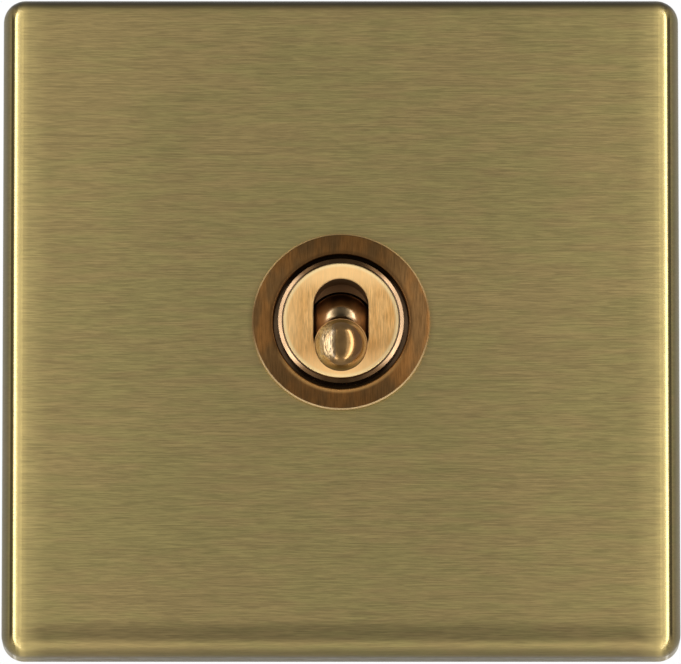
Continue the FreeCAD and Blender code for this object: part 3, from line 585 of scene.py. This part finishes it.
def glowing_material(name, level):
    made = bpy.data.materials.new(name)
    made.use_nodes = True
    made.node_tree.nodes.clear()
    glow = made.node_tree.nodes.new("ShaderNodeEmission")
    glow.inputs["Color"].default_value = WHITE
    glow.inputs["Strength"].default_value = level
    out = made.node_tree.nodes.new("ShaderNodeOutputMaterial")
    made.node_tree.links.new(glow.outputs[0], out.inputs["Surface"])
    return made


def add_mesh(name, places, faces, material):
    mesh = bpy.data.meshes.new(name)
    mesh.from_pydata(places, [], faces)
    mesh.materials.append(material)
    made = bpy.data.objects.new(name, mesh)
    bpy.context.scene.collection.objects.link(made)
    return made


def floor():
    half = FLOOR_SIZE / 2
    signs = ((-1, -1), (1, -1), (1, 1), (-1, 1))
    corners = [(x * half, y * half, FLOOR_LEVEL) for x, y in signs]
    made = add_mesh("floor", corners, [(0, 1, 2, 3)], plain_material("pale_floor", MIDDLE_GREY))


def edge_angle(edge, upright):
    """A cloth edge's angle off the front, from its angles at the sides, the top and the bottom."""
    side, top, bottom = edge
    end = top if upright > 0 else bottom
    return side + (end - side) * upright ** 2


def cloth(name, start, end, level):
    """Cloth round the object from one edge to another, for the polished metal to mirror."""
    places = []
    for ring in range(CLOTH_RINGS + 1):
        for step in range(CLOTH_STEPS):
            turn = 2 * math.pi * step / CLOTH_STEPS
            upright = math.sin(turn)
            first = edge_angle(start, upright)
            angle = first + (edge_angle(end, upright) - first) * ring / CLOTH_RINGS
            reach = CLOTH_RADIUS * math.sin(angle)
            forward = CLOTH_RADIUS * math.cos(angle)
            places.append((reach * math.cos(turn), -forward, reach * upright))
    faces = []
    for low in range(0, CLOTH_RINGS * CLOTH_STEPS, CLOTH_STEPS):
        for step in range(CLOTH_STEPS):
            here = low + step
            after = low + (step + 1) % CLOTH_STEPS
            faces.append((here, here + CLOTH_STEPS, after + CLOTH_STEPS, after))
    made = add_mesh(name, places, faces, glowing_material(name, level))
    made.visible_camera = False


def cloths():
    """Both cloths, whose edges are angles off the front at the sides, the top and the bottom."""
    middle = (CLOTH_MIDDLE, CLOTH_MIDDLE, CLOTH_MIDDLE)
    cloth("dark_cloth", middle, (CLOTH_SIDE, CLOTH_TOP, CLOTH_BOTTOM), DARK_LEVEL)
    near = (CLOTH_SIDE, CLOTH_TOP, CLOTH_SIDE)
    far = (CLOTH_END, CLOTH_END, CLOTH_SIDE)
    cloth("grey_cloth", near, far, GREY_LEVEL)


def lamp(name, angle, width, radiance):
    """A tall soft lamp that faces the object from one side of the camera."""
    data = bpy.data.lights.new(name, "AREA")
    data.shape = "RECTANGLE"
    data.size = width
    data.size_y = LAMP_HEIGHT
    data.energy = radiance * math.pi * width * LAMP_HEIGHT
    made = bpy.data.objects.new(name, data)
    bpy.context.scene.collection.objects.link(made)
    place = Vector((math.sin(angle), -math.cos(angle), 0.0)) * LAMP_DISTANCE
    made.location = place - Vector((0.0, 0.0, LAMP_DROP))
    made.rotation_euler = (-place).to_track_quat("-Z", "Y").to_euler()
    made.visible_camera = False


def lamps():
    for name, side in (("left", -1), ("right", 1)):
        lamp("strip_" + name, side * STRIP_ANGLE, STRIP_WIDTH, STRIP_RADIANCE)
        lamp("panel_" + name, side * PANEL_ANGLE, PANEL_WIDTH, PANEL_RADIANCE)


def room():
    """A plain white room all round."""
    world = bpy.data.worlds.new("white_room")
    bpy.context.scene.world = world
    world.use_nodes = True
    background = world.node_tree.nodes["Background"]
    background.inputs["Color"].default_value = WHITE
    background.inputs["Strength"].default_value = 1.0


def camera():
    data = bpy.data.cameras.new("camera")
    data.sensor_width = SENSOR
    data.lens = CAMERA_LENS
    data.clip_start = CAMERA_NEAR
    data.clip_end = CAMERA_FAR
    made = bpy.data.objects.new("camera", data)
    bpy.context.scene.collection.objects.link(made)
    back = Vector((0.0, -math.cos(CAMERA_TILT), -math.sin(CAMERA_TILT)))
    made.location = CAMERA_TARGET + back * CAMERA_DISTANCE
    made.rotation_euler = (-back).to_track_quat("-Z", "Y").to_euler()
    bpy.context.scene.camera = made


camera()
room()
floor()
cloths()
lamps()
dress()
bpy.context.scene.view_settings.view_transform = "Standard"
